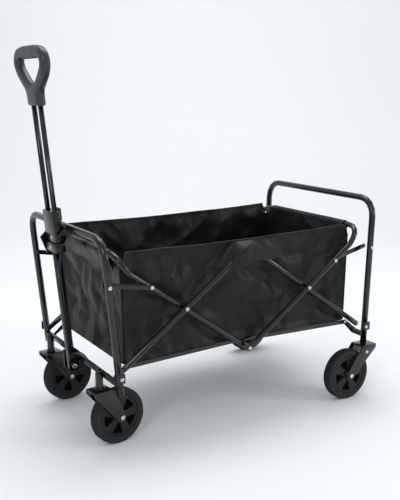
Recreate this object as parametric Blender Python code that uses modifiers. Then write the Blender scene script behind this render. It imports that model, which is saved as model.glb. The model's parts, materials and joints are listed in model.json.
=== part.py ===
"""Folding utility wagon with a telescoping pull handle.

A fabric basket hangs in a collapsible steel frame: two leg hoops, a double pair of
crossing links on each side, two basket hoops, short struts and bottom rails. The front
stands on swivel casters, the rear on fixed forks. Metres, +Z up, +X towards the rear,
-Y towards the side seen first, the floor at Z = 0.
"""

import math

import bmesh
import bpy
from mathutils import Matrix, Vector

# ---- driving dimensions -------------------------------------------------------------
LEG_X = 0.420            # leg centre line from the middle, at the height of the pivots
LEG_Y = 0.2635           # leg centre line from the plane of symmetry
LEG_RADIUS = 0.0098
FRONT_LEAN = 0.0867      # the front legs lean forward, the rear legs back (radians)
REAR_LEAN = 0.0460
FRONT_TOP_Z = 0.582      # centre line of each leg hoop's cross bar
REAR_TOP_Z = 0.613
LEG_BEND = 0.052
FRONT_LEG_END_Z = 0.172

LINK_X = 0.417           # outer pivots of the side links
PIVOT_Z = 0.218
LINK_RISE = 0.299        # height of the top centre joint over the pivots
LINK_RADIUS = 0.0083
LINK_GAP = 0.0004
LINK_TAB = 0.0088        # a link runs this far past its end pivot
TAB_TIP = 0.60           # and its flat end narrows to this share of its width
HOOP_X = 0.400           # basket hoops' cross runs
HOOP_Z = 0.530
HOOP_BEND = 0.040
KINK_X = 0.368           # where a hoop's side turns up out of the link's line

WHEEL_RADIUS = 0.0780
TYRE_WIDTH = 0.034
RIM_RADIUS = 0.0580
HUB_WIDTH = 0.026
WEB = 0.005              # closed disc between the spokes
WEB_RADIUS = 0.0520
BORE_RADIUS = 0.0048
BOLT_RADIUS = 0.0044
FORK_WIDTH = 0.050
PLATE = 0.003            # fork and bracket sheet
FORK_TOP_Z = 0.1645
FORK_HALF = 0.028        # half the length of a fork's top plate
FORK_EYE = 0.0135
STEM_X = -0.4395
STEM_Y = 0.180
FRONT_TRAIL = 0.0530     # axle behind the swivel stem
REAR_FORK_X = 0.4165
REAR_FORK_Y = 0.268
REAR_TRAIL = -0.0710
SLEEVE_RADIUS = 0.0105
STEM_RADIUS = 0.0056
SLEEVE_TOP_Z = 0.2115
CASTER_YAW = 0.1300      # the casters stand turned about their stems by this much

CROSSBAR_Z = 0.1980
CROSSBAR_RADIUS = 0.0085

STRUT_Z_FRONT = 0.463    # strut pivot on the front leg
STRUT_Z_REAR = 0.466
STRUT_SHARE = 0.734      # strut's far end, as a share of the way from the bottom joint
STRUT_HEIGHT = 0.0135
STRUT_THICK = 0.003
RAIL_X = 0.381
RAIL_Z = 0.226
RAIL_MID_Z = 0.238
RAIL_HEIGHT = 0.0130
RAIL_THICK = 0.0026

HANDLE_X = -0.4450       # pitch pivot of the pull handle
HANDLE_Z = 0.1820
HANDLE_LEAN = 0.0885
TUBE_RADIUS = 0.0118
ROD_RADIUS = 0.0070
ROD_Y = 0.0250
COLLAR_HALF = 0.0370     # half widths of the collar and the slider below it
SLIDER_HALF = 0.0375
COLLAR_DEPTH = 0.0250
COLLAR_LOW = 0.362       # heights along the handle from its pivot
COLLAR_HIGH = 0.447
LEVER_LOW = 0.418
LEVER_HIGH = 0.452
SLIDER_LOW = 0.333
SLIDER_HIGH = 0.3595
NECK = 0.7290            # where the rods enter the grip
GRIP_DEPTH = 0.032
CLIP_HALF = 0.0470       # the clip's wings lie between these distances from the middle
CLIP_INSIDE = 0.0415

BASKET_FRONT = -0.3800
BASKET_REAR = 0.3800
BASKET_Y = 0.2125
BASKET_FLOOR_Z = 0.2480
BASKET_RIM_Z = 0.5100
CLOTH = 0.004

GAP = 0.0003             # clearance between pieces that touch
ORIGIN_X = 0.0453        # the finished wagon moves back by this, to stand over the origin

# ---- planes across the wagon --------------------------------------------------------
OUTER_LINK_Y = LEG_Y - LEG_RADIUS - LINK_GAP - LINK_RADIUS
INNER_LINK_Y = OUTER_LINK_Y - 2 * LINK_RADIUS - LINK_GAP
RAIL_OUTER_Y = INNER_LINK_Y - LINK_RADIUS - LINK_GAP - RAIL_THICK / 2
RAIL_INNER_Y = RAIL_OUTER_Y - RAIL_THICK - LINK_GAP
FRONT_STRUT_Y = INNER_LINK_Y + LINK_RADIUS + LINK_GAP + STRUT_THICK / 2
REAR_STRUT_Y = OUTER_LINK_Y - LINK_RADIUS - LINK_GAP - STRUT_THICK / 2
AXLE_Z = WHEEL_RADIUS

SIDES = (("left", -1), ("right", 1))     # seen from behind, looking forward along -X


# ---- scene --------------------------------------------------------------------------
def clear_scene():
    for thing in list(bpy.data.objects):
        bpy.data.objects.remove(thing, do_unlink=True)


def collection(name):
    group = bpy.data.collections.new(name)
    bpy.context.scene.collection.children.link(group)
    return group


def material(name, colour, roughness, metallic=0.0):
    finish = bpy.data.materials.new(name)
    finish.use_nodes = True
    shader = finish.node_tree.nodes["Principled BSDF"]
    shader.inputs["Base Color"].default_value = (*colour, 1.0)
    shader.inputs["Roughness"].default_value = roughness
    shader.inputs["Metallic"].default_value = metallic
    return finish


clear_scene()
PARTS = collection("folding_wagon")
CUTTERS = collection("cutters")
POWDER = (0.012, 0.012, 0.014)
FINISHES = {
    "powder_coat": (POWDER, 0.28, 0.0),
    "zinc": ((0.62, 0.62, 0.64), 0.30, 1.0),
    "tyre_rubber": ((0.035, 0.035, 0.038), 0.75, 0.0),
    "hub_plastic": ((0.015, 0.015, 0.017), 0.42, 0.0),
    "grip_plastic": ((0.030, 0.032, 0.036), 0.50, 0.0),
    "basket_cloth": ((0.014, 0.014, 0.017), 0.80, 0.0),
}


def finish(obj, name, slot):
    """Name an object, link it into the parts and give it its own material."""
    obj.name = name
    obj.data.name = name
    for group in list(obj.users_collection):
        group.objects.unlink(obj)
    PARTS.objects.link(obj)
    obj.data.materials.clear()
    obj.data.materials.append(material(f"{name}_{slot}", *FINISHES[slot]))
    return obj


def empty(name, location, pitch=0.0, yaw=0.0, parent=None):
    """A frame of reference at a joint, turned by pitch about +Y or by yaw about +Z."""
    guide = bpy.data.objects.new(name, None)
    PARTS.objects.link(guide)
    guide.location = location
    guide.rotation_euler = (0.0, pitch, yaw)
    guide.parent = parent
    guide.empty_display_size = 0.02
    return guide


# ---- shapes -------------------------------------------------------------------------
def rounded_path(corners, radius, steps=4):
    """Straight runs through the corners, each corner turned into an arc."""
    corners = [Vector(c) for c in corners]
    path = [corners[0]]
    for before, corner, after in zip(corners, corners[1:], corners[2:]):
        back = (before - corner).normalized()
        ahead = (after - corner).normalized()
        half = back.angle(ahead) / 2
        centre = corner + (back + ahead).normalized() * radius / math.sin(half)
        start = corner + back * radius / math.tan(half) - centre
        end = corner + ahead * radius / math.tan(half) - centre
        axis = start.cross(end).normalized()
        sweep = start.angle(end)
        for i in range(steps + 1):
            path.append(centre + Matrix.Rotation(sweep * i / steps, 3, axis) @ start)
    path.append(corners[-1])
    return path


def tube(name, path, radius, slot="powder_coat", parent=None, sides_level=4, tip=1.0):
    """A round bar or tube along a path, closed at both ends, which taper to tip."""
    curve = bpy.data.curves.new(name, "CURVE")
    curve.dimensions = "3D"
    curve.bevel_depth = radius
    curve.bevel_resolution = sides_level
    curve.use_fill_caps = True
    spline = curve.splines.new("POLY")
    spline.points.add(len(path) - 1)
    for point, place in zip(spline.points, path):
        point.co = (*place, 1.0)
    spline.points[0].radius = spline.points[-1].radius = tip
    spline.use_smooth = True
    obj = finish(bpy.data.objects.new(name, curve), name, slot)
    obj.parent = parent
    return obj


def as_mesh(obj):
    """The object's evaluated shape as a mesh object with welded caps."""
    bpy.context.view_layer.update()
    graph = bpy.context.evaluated_depsgraph_get()
    mesh = bpy.data.meshes.new_from_object(obj.evaluated_get(graph))
    work = bmesh.new()
    work.from_mesh(mesh)
    bmesh.ops.remove_doubles(work, verts=work.verts, dist=0.00001)
    work.to_mesh(mesh)
    work.free()
    made = bpy.data.objects.new(obj.name, mesh)
    made.matrix_world = obj.matrix_world
    for group in obj.users_collection:
        group.objects.link(made)
    name = obj.name
    bpy.data.objects.remove(obj, do_unlink=True)
    made.name = name
    return made


def flatten_ends(obj, ends, length=0.020, share=0.36, axis="Y"):
    """Press a tube flat around each end point, as a punch does, with a short taper."""
    index = "XYZ".index(axis)
    for vertex in obj.data.vertices:
        place = obj.matrix_world @ vertex.co
        for end, middle in ends:
            away = math.hypot(place.x - end.x, place.z - end.z)
            if away < 1.6 * length:
                press = min(1.0, max(0.0, (1.6 * length - away) / (0.6 * length)))
                scale = 1.0 - (1.0 - share) * press
                place[index] = middle + (place[index] - middle) * scale
                vertex.co = obj.matrix_world.inverted() @ place


def station_path(start, end, runs):
    """Start, points at the given distances in from both ends, and the end."""
    span = (end - start).length
    way = (end - start) / span
    distances = [0.0] + list(runs) + [span - r for r in reversed(runs)] + [span]
    return [start + way * d for d in distances]


def turned(name, profile, location, slot, axis="Z", parent=None, steps=24, closed=False):
    """Turn a profile of (radius, height) points, listed down its outer side."""
    mesh = bpy.data.meshes.new(name)
    count = len(profile)
    edges = [(i, i + 1) for i in range(count - 1)]
    if closed:
        edges.append((count - 1, 0))
    mesh.from_pydata([(r, 0.0, h) for r, h in profile], edges, [])
    obj = finish(bpy.data.objects.new(name, mesh), name, slot)
    screw = obj.modifiers.new("turn", "SCREW")
    screw.steps = screw.render_steps = steps
    screw.use_merge_vertices = True
    screw.merge_threshold = 0.00001
    screw.use_smooth_shade = True
    obj.location = location
    if axis == "Y":
        obj.rotation_euler = (math.radians(90), 0.0, 0.0)
    obj.parent = parent
    return obj


def outline(name, loops, thickness, slot, location=(0, 0, 0), upright=True, edge=0.0,
            smooth=False, parent=None):
    """A flat plate from closed loops of (u, v) points; upright plates lie in X and Z."""
    curve = bpy.data.curves.new(name, "CURVE")
    curve.dimensions = "2D"
    curve.fill_mode = "BOTH"
    curve.extrude = thickness / 2 - edge
    curve.bevel_depth = edge
    curve.bevel_resolution = 1
    curve.resolution_u = 3
    for loop in loops:
        if smooth:
            spline = curve.splines.new("BEZIER")
            spline.bezier_points.add(len(loop) - 1)
            for point, (u, v) in zip(spline.bezier_points, loop):
                point.co = (u, v, 0.0)
                point.handle_left_type = point.handle_right_type = "AUTO"
        else:
            spline = curve.splines.new("POLY")
            spline.points.add(len(loop) - 1)
            for point, (u, v) in zip(spline.points, loop):
                point.co = (u, v, 0.0, 1.0)
        spline.use_cyclic_u = True
    obj = finish(bpy.data.objects.new(name, curve), name, slot)
    obj.location = location
    if upright:
        obj.rotation_euler = (math.radians(90), 0.0, 0.0)
    obj.parent = parent
    return obj


def block(name, low, high, slot, parent=None, edge=0.0, steps=2):
    """A box between two corners, its edges rounded."""
    mesh = bpy.data.meshes.new(name)
    work = bmesh.new()
    bmesh.ops.create_cube(work, size=1.0)
    size = [b - a for a, b in zip(low, high)]
    middle = [(a + b) / 2 for a, b in zip(low, high)]
    bmesh.ops.scale(work, vec=size, verts=work.verts)
    work.to_mesh(mesh)
    work.free()
    obj = finish(bpy.data.objects.new(name, mesh), name, slot)
    obj.location = middle
    obj.parent = parent
    if edge:
        bevel = obj.modifiers.new("edges", "BEVEL")
        bevel.width = edge
        bevel.segments = steps
    return obj


def cutter(obj):
    """Move an object among the cutters, which are not part of the wagon."""
    for group in list(obj.users_collection):
        group.objects.unlink(obj)
    CUTTERS.objects.link(obj)
    obj.hide_render = True
    obj.display_type = "WIRE"
    return obj


def combine(obj, tool, operation):
    change = obj.modifiers.new(operation.lower(), "BOOLEAN")
    change.operation = operation
    change.solver = "EXACT"
    change.object = cutter(tool)


def circle(radius, count, centre=(0.0, 0.0), first=0.0):
    return [
        (centre[0] + radius * math.cos(first + 2 * math.pi * i / count),
         centre[1] + radius * math.sin(first + 2 * math.pi * i / count))
        for i in range(count)
    ]


def hull(points):
    """The convex outline round flat points, anticlockwise."""
    points = sorted(set(points))

    def chain(run):
        line = []
        for p in run:
            while len(line) > 1:
                (ax, ay), (bx, by) = line[-2], line[-1]
                if (bx - ax) * (p[1] - ay) - (by - ay) * (p[0] - ax) > 0:
                    break
                line.pop()
            line.append(p)
        return line[:-1]

    return chain(points) + chain(points[::-1])


def bar(length, height, count=8):
    """Outline of a flat bar with round ends; its pivots lie on the ends' centres."""
    radius = height / 2
    start = circle(radius, 2 * count, (0.0, 0.0))
    end = circle(radius, 2 * count, (length, 0.0))
    return hull(start + end)


def leg_x(side, z):
    """Centre line of the front (-1) or rear (+1) legs at height z."""
    lean = FRONT_LEAN if side < 0 else REAR_LEAN
    return side * (LEG_X + lean * (z - PIVOT_Z))


# ---- leg hoops ----------------------------------------------------------------------
def leg_hoop(name, side, low, top):
    """One leg hoop, built upright in a frame that leans about its pivots."""
    lean = FRONT_LEAN if side < 0 else REAR_LEAN
    frame = empty(f"{name}_lean", (side * LEG_X, 0.0, PIVOT_Z), side * lean)
    down = (low - PIVOT_Z) / math.cos(lean)
    up = (top - PIVOT_Z) / math.cos(lean)
    corners = [(0, -LEG_Y, down), (0, -LEG_Y, up), (0, LEG_Y, up), (0, LEG_Y, down)]
    return tube(name, rounded_path(corners, LEG_BEND), LEG_RADIUS, parent=frame)


leg_hoop("front_leg_hoop", -1, FRONT_LEG_END_Z, FRONT_TOP_Z)
leg_hoop("rear_leg_hoop", 1, FORK_TOP_Z + GAP + LEG_RADIUS * REAR_LEAN, REAR_TOP_Z)


# ---- front crossbar, swivel sleeves and brackets ------------------------------------
def crossbar():
    """Lower front cross bar, with an ear on each side for the bottom rail."""
    centre = leg_x(-1, CROSSBAR_Z)
    reach = LEG_Y - LEG_RADIUS - GAP
    path = [Vector((centre, -reach, CROSSBAR_Z)), Vector((centre, reach, CROSSBAR_Z))]
    beam = as_mesh(tube("front_crossbar", path, CROSSBAR_RADIUS))
    ear_low = CROSSBAR_Z - 0.004
    eye = RAIL_HEIGHT / 2
    shape = hull(
        [(centre, ear_low), (centre, CROSSBAR_Z + 0.004)]
        + circle(eye, 12, (-RAIL_X, RAIL_Z))
    )
    for word, sign in SIDES:
        ear = outline(f"crossbar_ear_{word}", [shape], RAIL_THICK, "powder_coat",
                      (0.0, sign * RAIL_OUTER_Y, 0.0))
        combine(beam, as_mesh(ear), "UNION")
        notch = turned(f"crossbar_notch_{word}",
                       [(0.0, 0.04), (SLEEVE_RADIUS + GAP, 0.04),
                        (SLEEVE_RADIUS + GAP, -0.04), (0.0, -0.04)],
                       (STEM_X, sign * STEM_Y, CROSSBAR_Z), "zinc", steps=20)
        combine(beam, notch, "DIFFERENCE")
    return beam


def swivel_sleeve(word, sign):
    """Upright sleeve welded into the crossbar, in which a caster's stem turns."""
    low, high = FORK_TOP_Z + 0.005, SLEEVE_TOP_Z
    bore = STEM_RADIUS + 0.0006
    profile = [(bore, high), (SLEEVE_RADIUS, high), (SLEEVE_RADIUS, low), (bore, low)]
    turned(f"swivel_sleeve_{word}", profile, (STEM_X, sign * STEM_Y, 0.0), "powder_coat",
           steps=20, closed=True)


def leg_bracket(name, side, sign):
    """Pressed plate on a leg's inner face that carries the side link's pivot."""
    x = leg_x(side, PIVOT_Z)
    outer = LEG_Y + LEG_RADIUS
    low = (x - 0.0125, sign * (outer + GAP), PIVOT_Z - 0.011)
    high = (x + 0.0125, sign * (outer + GAP + 0.0022), PIVOT_Z + 0.015)
    ys = sorted((low[1], high[1]))
    block(name, (low[0], ys[0], low[2]), (high[0], ys[1], high[2]), "powder_coat",
          edge=0.0008)


crossbar()
for WORD, SIGN in SIDES:
    swivel_sleeve(WORD, SIGN)
    leg_bracket(f"front_bracket_{WORD}", -1, SIGN)
    leg_bracket(f"rear_bracket_{WORD}", 1, SIGN)


def rear_rail_ear(word, sign):
    """Hanger from the rear leg, below the link, to the rear rail's pivot."""
    x = leg_x(1, PIVOT_Z)
    low, high = PIVOT_Z - 0.0245, PIVOT_Z - 0.0215 + GAP
    reach = LEG_Y - LEG_RADIUS - GAP
    ys = sorted((sign * (RAIL_INNER_Y - RAIL_THICK / 2), sign * reach))
    arm = block(f"rear_rail_hanger_{word}", (x - 0.006, ys[0], low - 0.010),
                (x + 0.008, ys[1], high), "powder_coat")
    shape = hull([(x + 0.008, low - 0.010), (x + 0.008, high), (x - 0.006, low - 0.010)]
                 + circle(RAIL_HEIGHT / 2, 12, (RAIL_X, RAIL_Z)))
    ear = outline(f"hanger_ear_{word}", [shape], RAIL_THICK, "powder_coat",
                  (0.0, sign * RAIL_INNER_Y, 0.0))
    combine(arm, as_mesh(ear), "UNION")


for WORD, SIGN in SIDES:
    rear_rail_ear(WORD, SIGN)


# ---- forks and wheels ---------------------------------------------------------------
def fork(name, trail, parent):
    """Folded sheet fork: a top plate and two cheeks that taper to the axle."""
    cheek = [(-FORK_HALF, FORK_TOP_Z), (FORK_HALF, FORK_TOP_Z),
             (FORK_HALF, FORK_TOP_Z - 0.012), (-FORK_HALF, FORK_TOP_Z - 0.012)]
    shape = hull(cheek + circle(FORK_EYE, 20, (trail, AXLE_Z)))
    body = as_mesh(outline(name, [shape], FORK_WIDTH, "powder_coat"))
    inside = FORK_WIDTH / 2 - PLATE
    gap = block(f"{name}_gap", (-0.15, -inside, 0.0),
                (0.15, inside, FORK_TOP_Z - PLATE), "powder_coat", parent)
    combine(body, gap, "DIFFERENCE")
    eye = turned(f"{name}_eye", [(0.0, 0.05), (BORE_RADIUS, 0.05), (BORE_RADIUS, -0.05),
                                 (0.0, -0.05)],
                 (trail, 0.0, AXLE_Z), "zinc", axis="Y", parent=parent, steps=16)
    combine(body, eye, "DIFFERENCE")
    body.parent = parent
    return body


def tyre(name, place, parent):
    half = TYRE_WIDTH / 2
    tread = WHEEL_RADIUS
    profile = [(RIM_RADIUS, half - 0.002), (RIM_RADIUS + 0.004, half), (tread - 0.006, half),
               (tread - 0.0015, half - 0.003), (tread, half - 0.008)]
    profile += [(r, -h) for r, h in reversed(profile)]
    return turned(name, profile, place, "tyre_rubber", "Y", parent, steps=32, closed=True)


def hub(name, place, parent):
    """Moulded wheel centre with five wide spokes over a closed web."""
    spokes, first = 5, math.radians(43)
    rim = RIM_RADIUS - GAP
    window_out, window_in = 0.0495, 0.0185
    loops = [circle(rim, 32), circle(BORE_RADIUS, 12)]
    for i in range(spokes):
        middle = first + 2 * math.pi * i / spokes
        outer_half, inner_half = math.radians(20.0), math.radians(9.0)
        arc = [middle - outer_half + 2 * outer_half * k / 5 for k in range(6)]
        short = [middle + inner_half - 2 * inner_half * k / 2 for k in range(3)]
        loops.append([(window_out * math.cos(a), window_out * math.sin(a)) for a in arc]
                     + [(window_in * math.cos(a), window_in * math.sin(a)) for a in short])
    body = as_mesh(outline(name, loops, HUB_WIDTH, "hub_plastic", place))
    body.parent = parent
    profile = [(BORE_RADIUS, WEB / 2), (WEB_RADIUS, WEB / 2), (WEB_RADIUS, -WEB / 2),
               (BORE_RADIUS, -WEB / 2)]
    web = turned(f"{name}_web", profile, place, "hub_plastic", "Y", parent, 32, True)
    combine(body, web, "UNION")


def axle_bolt(name, place, parent):
    half, head = FORK_WIDTH / 2 + GAP, 0.0045
    profile = [(0.0, half + head), (0.0068, half + head), (0.0068, half),
               (BOLT_RADIUS, half)]
    profile += [(r, -h) for r, h in reversed(profile)]
    return turned(name, profile, place, "zinc", "Y", parent, steps=12)


def wheel_set(end, word, x, y, trail, yaw=0.0):
    """Fork, tyre, hub and bolt in a frame over the floor that turns about the fork."""
    frame = empty(f"{end}_caster_{word}", (x, y, 0.0), yaw=yaw)
    place = (trail, 0.0, AXLE_Z)
    fork(f"{end}_fork_{word}", trail, frame)
    tyre(f"{end}_tyre_{word}", place, frame)
    hub(f"{end}_hub_{word}", place, frame)
    axle_bolt(f"{end}_axle_bolt_{word}", place, frame)


def swivel_stem(word, sign):
    """Stem of a front caster, standing on its fork, with a cap over the sleeve."""
    low, cap = FORK_TOP_Z + GAP, SLEEVE_TOP_Z + GAP
    washer = FORK_TOP_Z + 0.0045
    profile = [(0.0, cap + 0.009), (0.0055, cap + 0.009), (0.0082, cap + 0.006),
               (0.0082, cap), (STEM_RADIUS, cap), (STEM_RADIUS, washer),
               (0.0125, washer), (0.0125, low), (0.0, low)]
    turned(f"swivel_stem_{word}", profile, (STEM_X, sign * STEM_Y, 0.0), "powder_coat",
           steps=16)


for WORD, SIGN in SIDES:
    wheel_set("front", WORD, STEM_X, SIGN * STEM_Y, FRONT_TRAIL, CASTER_YAW)
    swivel_stem(WORD, SIGN)
    wheel_set("rear", WORD, REAR_FORK_X, SIGN * REAR_FORK_Y, REAR_TRAIL)


# ---- side links and basket hoops ----------------------------------------------------
def side_link(name, sign, y, x):
    """Straight link from an outer pivot up to the top centre joint, ends pressed flat."""
    low = Vector((x, sign * y, PIVOT_Z))
    high = Vector((0.0, sign * y, PIVOT_Z + LINK_RISE))
    way = (high - low).normalized()
    path = station_path(low - way * LINK_TAB, high + way * LINK_TAB, (0.0035, 0.028, 0.042))
    link = as_mesh(tube(name, path, LINK_RADIUS, tip=TAB_TIP))
    flatten_ends(link, ((low, sign * y), (high, sign * y)))
    return link


def basket_hoop(name, y, end):
    """Hoop that runs from one bottom centre joint over the basket's end to the other."""
    low_z, slope = PIVOT_Z, LINK_RISE / LINK_X
    tab = LINK_TAB * math.cos(math.atan(slope))
    start = (-end * tab, low_z - slope * tab)
    tip, near, mid = -0.0035, 0.016, 0.030
    kink = (end * KINK_X, low_z + slope * KINK_X)
    side = [start] + [(end * x, low_z + slope * x) for x in (tip, near, mid)]
    corner = (end * HOOP_X, HOOP_Z)
    corners = [Vector((kink[0], -y, kink[1])), Vector((corner[0], -y, corner[1])),
               Vector((corner[0], y, corner[1])), Vector((kink[0], y, kink[1]))]
    bend = rounded_path([Vector((side[-1][0], -y, side[-1][1])), *corners,
                         Vector((side[-1][0], y, side[-1][1]))], HOOP_BEND)
    path = [Vector((x, -y, z)) for x, z in side[:-1]] + bend
    path += [Vector((x, y, z)) for x, z in reversed(side[:-1])]
    hoop = as_mesh(tube(name, path, LINK_RADIUS, tip=TAB_TIP))
    joints = [(Vector((0.0, s * y, low_z)), s * y) for s in (-1, 1)]
    for middle in joints:
        flatten_side(hoop, middle)
    return hoop


def flatten_side(hoop, end):
    """Press one end of a hoop flat without touching its other end."""
    place, middle = end
    for vertex in hoop.data.vertices:
        if (vertex.co.y > 0) == (middle > 0):
            away = math.hypot(vertex.co.x - place.x, vertex.co.z - place.z)
            if away < 0.032:
                press = min(1.0, (0.032 - away) / 0.012)
                vertex.co.y = middle + (vertex.co.y - middle) * (1.0 - 0.64 * press)


for WORD, SIGN in SIDES:
    side_link(f"front_link_{WORD}", SIGN, OUTER_LINK_Y, -LINK_X)
    side_link(f"rear_link_{WORD}", SIGN, INNER_LINK_Y, LINK_X)
basket_hoop("front_basket_hoop", INNER_LINK_Y, -1)
basket_hoop("rear_basket_hoop", OUTER_LINK_Y, 1)


# ---- struts and bottom rails --------------------------------------------------------
def flat_bar(name, start, end, y, height, thick):
    """Flat bar between two pivots, its origin on the first."""
    span = math.hypot(end[0] - start[0], end[1] - start[1])
    pitch = -math.atan2(end[1] - start[1], end[0] - start[0])
    frame = empty(f"{name}_pivot", (start[0], y, start[1]), pitch)
    return outline(name, [bar(span, height)], thick, "powder_coat", parent=frame)


def strut(name, end, sign, z, y):
    """Short strut from a leg to the basket hoop's side."""
    far = (end * STRUT_SHARE * LINK_X, PIVOT_Z + STRUT_SHARE * LINK_RISE)
    return flat_bar(name, (leg_x(end, z), z), far, sign * y, STRUT_HEIGHT, STRUT_THICK)


for WORD, SIGN in SIDES:
    strut(f"front_strut_{WORD}", -1, SIGN, STRUT_Z_FRONT, FRONT_STRUT_Y)
    strut(f"rear_strut_{WORD}", 1, SIGN, STRUT_Z_REAR, REAR_STRUT_Y)
    flat_bar(f"front_rail_{WORD}", (-RAIL_X, RAIL_Z), (0.0, RAIL_MID_Z),
             SIGN * RAIL_INNER_Y, RAIL_HEIGHT, RAIL_THICK)
    flat_bar(f"rear_rail_{WORD}", (RAIL_X, RAIL_Z), (0.0, RAIL_MID_Z),
             SIGN * RAIL_OUTER_Y, RAIL_HEIGHT, RAIL_THICK)


# ---- pull handle --------------------------------------------------------------------
PITCH = empty("handle_pitch", (HANDLE_X, 0.0, HANDLE_Z), -HANDLE_LEAN)


def handle_bracket():
    """Folded bracket on the crossbar whose cheeks hold the handle's pivot."""
    web = leg_x(-1, CROSSBAR_Z) - CROSSBAR_RADIUS - GAP
    half, inside = 0.0200, 0.0170
    low, high, front = HANDLE_Z - 0.015, 0.2220, HANDLE_X - 0.0150
    body = block("handle_bracket", (front, -half, low), (web, half, high), "powder_coat")
    gap = block("bracket_gap", (front - 0.01, -inside, low - 0.01),
                (web - PLATE, inside, high + 0.01), "powder_coat")
    combine(body, gap, "DIFFERENCE")
    eye = turned("bracket_eye", [(0.0, 0.05), (BORE_RADIUS, 0.05), (BORE_RADIUS, -0.05),
                                 (0.0, -0.05)],
                 (HANDLE_X, 0.0, HANDLE_Z), "zinc", axis="Y", steps=16)
    combine(body, eye, "DIFFERENCE")


def handle_bolt():
    half, head = 0.0200 + GAP, 0.0045
    profile = [(0.0, half + head), (0.0070, half + head), (0.0070, half),
               (BOLT_RADIUS, half)]
    profile += [(r, -h) for r, h in reversed(profile)]
    turned("handle_pivot_bolt", profile, (HANDLE_X, 0.0, HANDLE_Z), "zinc", axis="Y",
           steps=12)


def handle_tube():
    """Lower tube of the handle, drilled for the pivot bolt."""
    path = [Vector((0.0, 0.0, -0.0090)), Vector((0.0, 0.0, COLLAR_LOW + 0.030))]
    body = as_mesh(tube("handle_tube", path, TUBE_RADIUS, parent=PITCH, sides_level=6))
    eye = turned("tube_eye", [(0.0, 0.05), (BORE_RADIUS, 0.05), (BORE_RADIUS, -0.05),
                              (0.0, -0.05)],
                 (HANDLE_X, 0.0, HANDLE_Z), "zinc", axis="Y", steps=16)
    combine(body, eye, "DIFFERENCE")


def bored_block(name, low, high, rods, centre, parent):
    """A moulded block on the handle, bored for the two rods or the lower tube."""
    body = block(name, low, high, "grip_plastic", parent=parent, edge=0.003)
    middle = (low[2] + high[2]) / 2
    for y, radius, bottom in [(-ROD_Y, ROD_RADIUS, None), (ROD_Y, ROD_RADIUS, None)] * rods:
        bore = turned(f"{name}_bore", [(0.0, 0.1), (radius + GAP, 0.1),
                                       (radius + GAP, -0.1), (0.0, -0.1)],
                      (0.0, y, middle), "zinc", parent=parent, steps=20)
        combine(body, bore, "DIFFERENCE")
    if centre is not None:
        top = centre - middle
        bore = turned(f"{name}_socket", [(0.0, top), (TUBE_RADIUS + GAP, top),
                                         (TUBE_RADIUS + GAP, -0.1), (0.0, -0.1)],
                      (0.0, 0.0, middle), "zinc", parent=parent, steps=20)
        combine(body, bore, "DIFFERENCE")
    return body


def collar():
    """Fixed collar: caps the lower tube and guides the rods past it."""
    bored_block("lock_collar", (-COLLAR_DEPTH / 2, -COLLAR_HALF, COLLAR_LOW),
                (COLLAR_DEPTH / 2, COLLAR_HALF, COLLAR_HIGH), 1, COLLAR_LOW + 0.030 + GAP, PITCH)


def slider():
    """Foot that ties the rods together and slides on the lower tube."""
    bored_block("rod_slider", (-0.0150, -SLIDER_HALF, SLIDER_LOW),
                (0.0150, SLIDER_HALF, SLIDER_HIGH), 1, SLIDER_HIGH + 0.02, PITCH)


def rod(word, sign):
    low, high = SLIDER_LOW + 0.001, NECK + 0.020
    path = [Vector((0.0, sign * ROD_Y, low)), Vector((0.0, sign * ROD_Y, high))]
    tube(f"telescopic_rod_{word}", path, ROD_RADIUS, parent=PITCH)


def lever():
    """Lock lever on the collar's rear face; it swings out about its lower edge."""
    inner, thick = COLLAR_DEPTH / 2 + GAP, 0.0085
    block("lock_lever", (inner, -0.0200, LEVER_LOW), (inner + thick, 0.0060, LEVER_HIGH),
          "grip_plastic", parent=PITCH, edge=0.002)


def grip():
    """Loop grip: a wide top bar, sides that close in, and a neck over the rods."""
    edge = 0.007                    # the rounded edge grows every outline by this much
    outer_half = ((0.028, edge), (0.034, 0.013), (0.035, 0.028), (0.065, 0.054),
                  (0.098, 0.086), (0.101, 0.111), (0.082, 0.133), (0.044, 0.141),
                  (0.0, 0.142))
    right = list(outer_half[:-1])
    left = [(-w, h) for w, h in reversed(outer_half)]
    left[0] = (0.0, outer_half[-1][1])
    hole_half = ((0.020, 0.056), (0.056, 0.073), (0.087, 0.096), (0.090, 0.112),
                 (0.066, 0.126))
    hole = [(w, h) for w, h in hole_half] + [(-w, h) for w, h in reversed(hole_half)]
    frame = empty("grip_frame", (0.0, 0.0, NECK), parent=PITCH)
    loop = outline("grip", [right + left, hole], GRIP_DEPTH, "grip_plastic", edge=edge,
                   smooth=True, upright=False)
    loop.rotation_euler = (math.radians(90), 0.0, math.radians(90))
    loop.parent = frame
    loop = as_mesh(loop)
    for sign in (-1, 1):
        socket = turned("grip_socket", [(0.0, 0.0203), (ROD_RADIUS + GAP, 0.0203),
                                        (ROD_RADIUS + GAP, -0.02), (0.0, -0.02)],
                        (0.0, sign * ROD_Y, 0.0), "zinc", parent=frame, steps=20)
        combine(loop, socket, "DIFFERENCE")


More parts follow.
